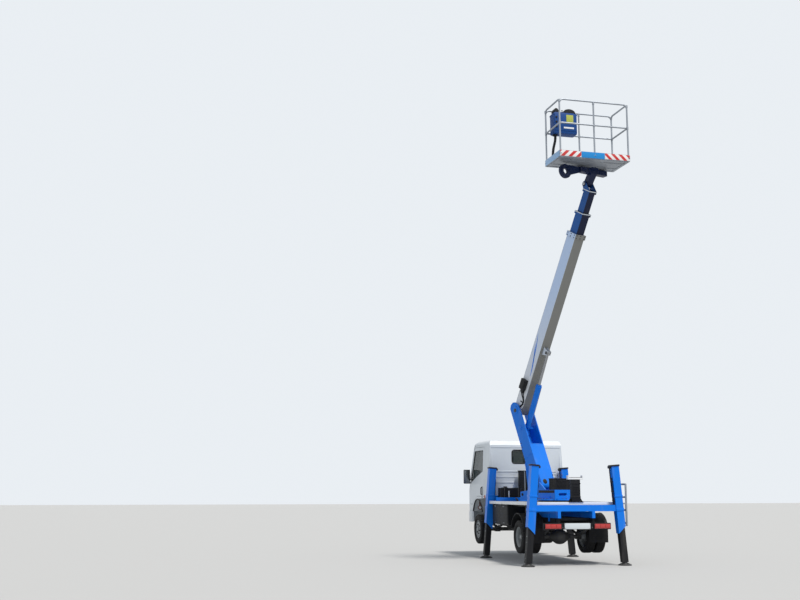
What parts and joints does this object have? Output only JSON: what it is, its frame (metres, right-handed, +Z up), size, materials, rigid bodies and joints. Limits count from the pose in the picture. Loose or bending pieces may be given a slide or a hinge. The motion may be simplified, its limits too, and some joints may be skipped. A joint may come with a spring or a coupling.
{
  "type": "cherry picker truck",
  "caption": "Cab-over lorry standing on jacking legs, with a slewing turret, a hinged lower boom, a telescopic upper boom and a levelled work basket.",
  "frame": {"origin": "on the ground under the middle of the outline", "axes": "+Y forward to the cab, +X to the vehicle's right, +Z up"},
  "size_m": [2.2238, 5.5135, 9.0778],
  "materials": {
    "white_paint": "gloss",
    "blue_paint": "gloss",
    "navy_paint": "gloss",
    "black_paint": "satin",
    "rim_paint": "satin",
    "cast_steel": "cast",
    "bare_aluminium": "mill",
    "chromed_rod": "polished",
    "tyre_rubber": "matt",
    "black_plastic": "grained",
    "blue_plastic": "moulded",
    "lamp_plastic": "clear",
    "head_lamp": "clear",
    "window_glass": "tinted",
    "seat_cloth": "woven"
  },
  "bodies": {
    "chassis": {"chassis_frame": "black_paint", "sub_frame": "blue_paint", "deck": "bare_aluminium", "slew_ring": "black_paint", "leg_sleeves": "blue_paint", "front_axle": "cast_steel", "rear_axle": "cast_steel", "engine_block": "cast_steel", "drive_line": "black_paint", "rear_mudguards": "black_plastic", "side_boxes": "black_plastic", "rear_bumper": "black_paint", "rear_lamps": "lamp_plastic", "boom_rest": "white_paint", "side_ladder": "bare_aluminium", "hydraulic_tank": "black_paint"},
    "cab": {"cab_shell": "white_paint", "cab_glass": "window_glass", "cab_seats": "seat_cloth", "dash_panel": "black_plastic", "steering_wheel": "black_plastic", "front_bumper": "white_paint", "head_lamps": "head_lamp"},
    "door_left": {"door_left": "white_paint", "door_glass_left": "window_glass", "mirror_left": "black_plastic"},
    "door_right": {"door_right": "white_paint", "door_glass_right": "window_glass", "mirror_right": "black_plastic"},
    "knuckle_left": {"knuckle_left": "cast_steel"},
    "knuckle_right": {"knuckle_right": "cast_steel"},
    "wheel_front_left": {"tyre_front_left": "tyre_rubber", "rim_front_left": "rim_paint"},
    "wheel_front_right": {"tyre_front_right": "tyre_rubber", "rim_front_right": "rim_paint"},
    "wheels_rear_left": {"tyres_rear_left": "tyre_rubber", "rims_rear_left": "rim_paint"},
    "wheels_rear_right": {"tyres_rear_right": "tyre_rubber", "rims_rear_right": "rim_paint"},
    "leg_front_left": {"leg_front_left": "black_paint"},
    "leg_front_right": {"leg_front_right": "black_paint"},
    "leg_rear_left": {"leg_rear_left": "black_paint"},
    "leg_rear_right": {"leg_rear_right": "black_paint"},
    "turret": {"turret": "blue_paint", "turret_box": "black_paint"},
    "lower_boom": {"lower_boom": "blue_paint"},
    "lower_barrel": {"lower_cylinder_barrel": "blue_paint"},
    "lower_rod": {"lower_cylinder_rod": "chromed_rod"},
    "upper_boom": {"upper_boom": "white_paint"},
    "upper_barrel": {"upper_cylinder_barrel": "blue_paint"},
    "upper_rod": {"upper_cylinder_rod": "chromed_rod"},
    "extension_1": {"extension_1": "navy_paint"},
    "extension_2": {"extension_2": "navy_paint"},
    "levelling_pin": {"levelling_pin": "chromed_rod"},
    "basket_carrier": {"basket_carrier": "navy_paint"},
    "basket": {"basket_floor": "bare_aluminium", "basket_rails": "bare_aluminium", "basket_console": "blue_plastic"}
  },
  "joints": [
    {"name": "cab_tilt", "type": "hinge", "parent": "chassis", "child": "cab", "pos_m": [0, 2.535, 0.86], "axis": [-1, 0, 0], "range_deg": [0, 45]},
    {"name": "door_left_swing", "type": "hinge", "parent": "cab", "child": "door_left", "pos_m": [-0.852, 2.588, 1.38], "axis": [0, 0, -1], "range_deg": [0, 70]},
    {"name": "steer_left", "type": "hinge", "parent": "chassis", "child": "knuckle_left", "pos_m": [-0.6, 1.997, 0.57], "axis": [0, 0, 1], "range_deg": [-35, 35]},
    {"name": "front_left_spin", "type": "hinge", "parent": "knuckle_left", "child": "wheel_front_left", "pos_m": [-0.777, 1.997, 0.57], "axis": [1, 0, 0], "continuous": true},
    {"name": "rear_left_spin", "type": "hinge", "parent": "chassis", "child": "wheels_rear_left", "pos_m": [-0.777, -0.956, 0.515], "axis": [1, 0, 0], "continuous": true},
    {"name": "door_right_swing", "type": "hinge", "parent": "cab", "child": "door_right", "pos_m": [0.852, 2.588, 1.38], "axis": [0, 0, 1], "range_deg": [0, 70]},
    {"name": "steer_right", "type": "hinge", "parent": "chassis", "child": "knuckle_right", "pos_m": [0.6, 1.997, 0.57], "axis": [0, 0, 1], "range_deg": [-35, 35]},
    {"name": "front_right_spin", "type": "hinge", "parent": "knuckle_right", "child": "wheel_front_right", "pos_m": [0.777, 1.997, 0.57], "axis": [1, 0, 0], "continuous": true},
    {"name": "rear_right_spin", "type": "hinge", "parent": "chassis", "child": "wheels_rear_right", "pos_m": [0.777, -0.956, 0.515], "axis": [1, 0, 0], "continuous": true},
    {"name": "leg_front_left_slide", "type": "slide", "parent": "chassis", "child": "leg_front_left", "axis": [-0.0854, 0, -0.9963], "range_m": [-0.4, 0]},
    {"name": "leg_front_right_slide", "type": "slide", "parent": "chassis", "child": "leg_front_right", "axis": [0.0854, 0, -0.9963], "range_m": [-0.4, 0]},
    {"name": "leg_rear_left_slide", "type": "slide", "parent": "chassis", "child": "leg_rear_left", "axis": [-0.0854, 0, -0.9963], "range_m": [-0.4, 0]},
    {"name": "leg_rear_right_slide", "type": "slide", "parent": "chassis", "child": "leg_rear_right", "axis": [0.0854, 0, -0.9963], "range_m": [-0.4, 0]},
    {"name": "slew", "type": "hinge", "parent": "chassis", "child": "turret", "pos_m": [0, -0.722, 1.2], "axis": [0, 0, 1], "range_deg": [-19.6, 340.4]},
    {"name": "lower_boom_lift", "type": "hinge", "parent": "turret", "child": "lower_boom", "pos_m": [-0.08962, -0.47033, 1.52171], "axis": [0.9421, 0.3355, 0], "range_deg": [-18, 6]},
    {"name": "lower_barrel_turn", "type": "hinge", "parent": "turret", "child": "lower_barrel", "pos_m": [-0.25494, -0.00604, 1.345], "axis": [0.9421, 0.3355, 0], "range_deg": [-18.14, 6.38]},
    {"name": "lower_rod_slide", "type": "slide", "parent": "lower_barrel", "child": "lower_rod", "axis": [-0.052, 0.1462, 0.9879], "range_m": [-0.16571, 0.05657]},
    {"name": "upper_boom_lift", "type": "hinge", "parent": "lower_boom", "child": "upper_boom", "pos_m": [-0.34122, 0.23625, 3.11357], "axis": [-0.9421, -0.3355, 0], "range_deg": [-97, 8]},
    {"name": "upper_barrel_turn", "type": "hinge", "parent": "lower_boom", "child": "upper_barrel", "pos_m": [-0.28495, 0.07822, 2.72962], "axis": [-0.9421, -0.3355, 0], "range_deg": [-102.18, 8.89]},
    {"name": "upper_rod_slide", "type": "slide", "parent": "upper_barrel", "child": "upper_rod", "axis": [0.1473, -0.4137, 0.8984], "range_m": [-0.61965, 0.05294]},
    {"name": "extension_1_slide", "type": "slide", "parent": "upper_boom", "child": "extension_1", "axis": [0.1616, -0.4538, 0.8763], "range_m": [-0.38, 2.6]},
    {"name": "extension_2_slide", "type": "slide", "parent": "extension_1", "child": "extension_2", "axis": [0.1616, -0.4538, 0.8763], "range_m": [-0.38, 2.6]},
    {"name": "level_upper", "type": "hinge", "parent": "extension_2", "child": "levelling_pin", "pos_m": [0.43638, -1.9475, 7.57921], "axis": [-0.9421, -0.3355, 0], "range_deg": [-8, 97]},
    {"name": "level_lower", "type": "hinge", "parent": "levelling_pin", "child": "basket_carrier", "pos_m": [0.43638, -1.9475, 7.57921], "axis": [-0.9421, -0.3355, 0], "range_deg": [-18, 6]},
    {"name": "basket_turn", "type": "hinge", "parent": "basket_carrier", "child": "basket", "pos_m": [0.4862, -2.0874, 7.87781], "axis": [0, 0, -1], "range_deg": [-61.9, 28.1]}
  ],
  "couplings": [
    {"joint": "steer_right", "follows": "steer_left", "ratio": 1},
    {"joint": "lower_barrel_turn", "follows": "lower_boom_lift", "ratio": 0.97985},
    {"joint": "lower_rod_slide", "follows": "lower_boom_lift", "m_per_rad": 0.52111},
    {"joint": "upper_barrel_turn", "follows": "upper_boom_lift", "ratio": 1.0483},
    {"joint": "upper_rod_slide", "follows": "upper_boom_lift", "m_per_rad": 0.36483},
    {"joint": "level_upper", "follows": "upper_boom_lift", "ratio": -1},
    {"joint": "level_lower", "follows": "lower_boom_lift", "ratio": 1},
    {"joint": "extension_2_slide", "follows": "extension_1_slide", "ratio": 1}
  ]
}
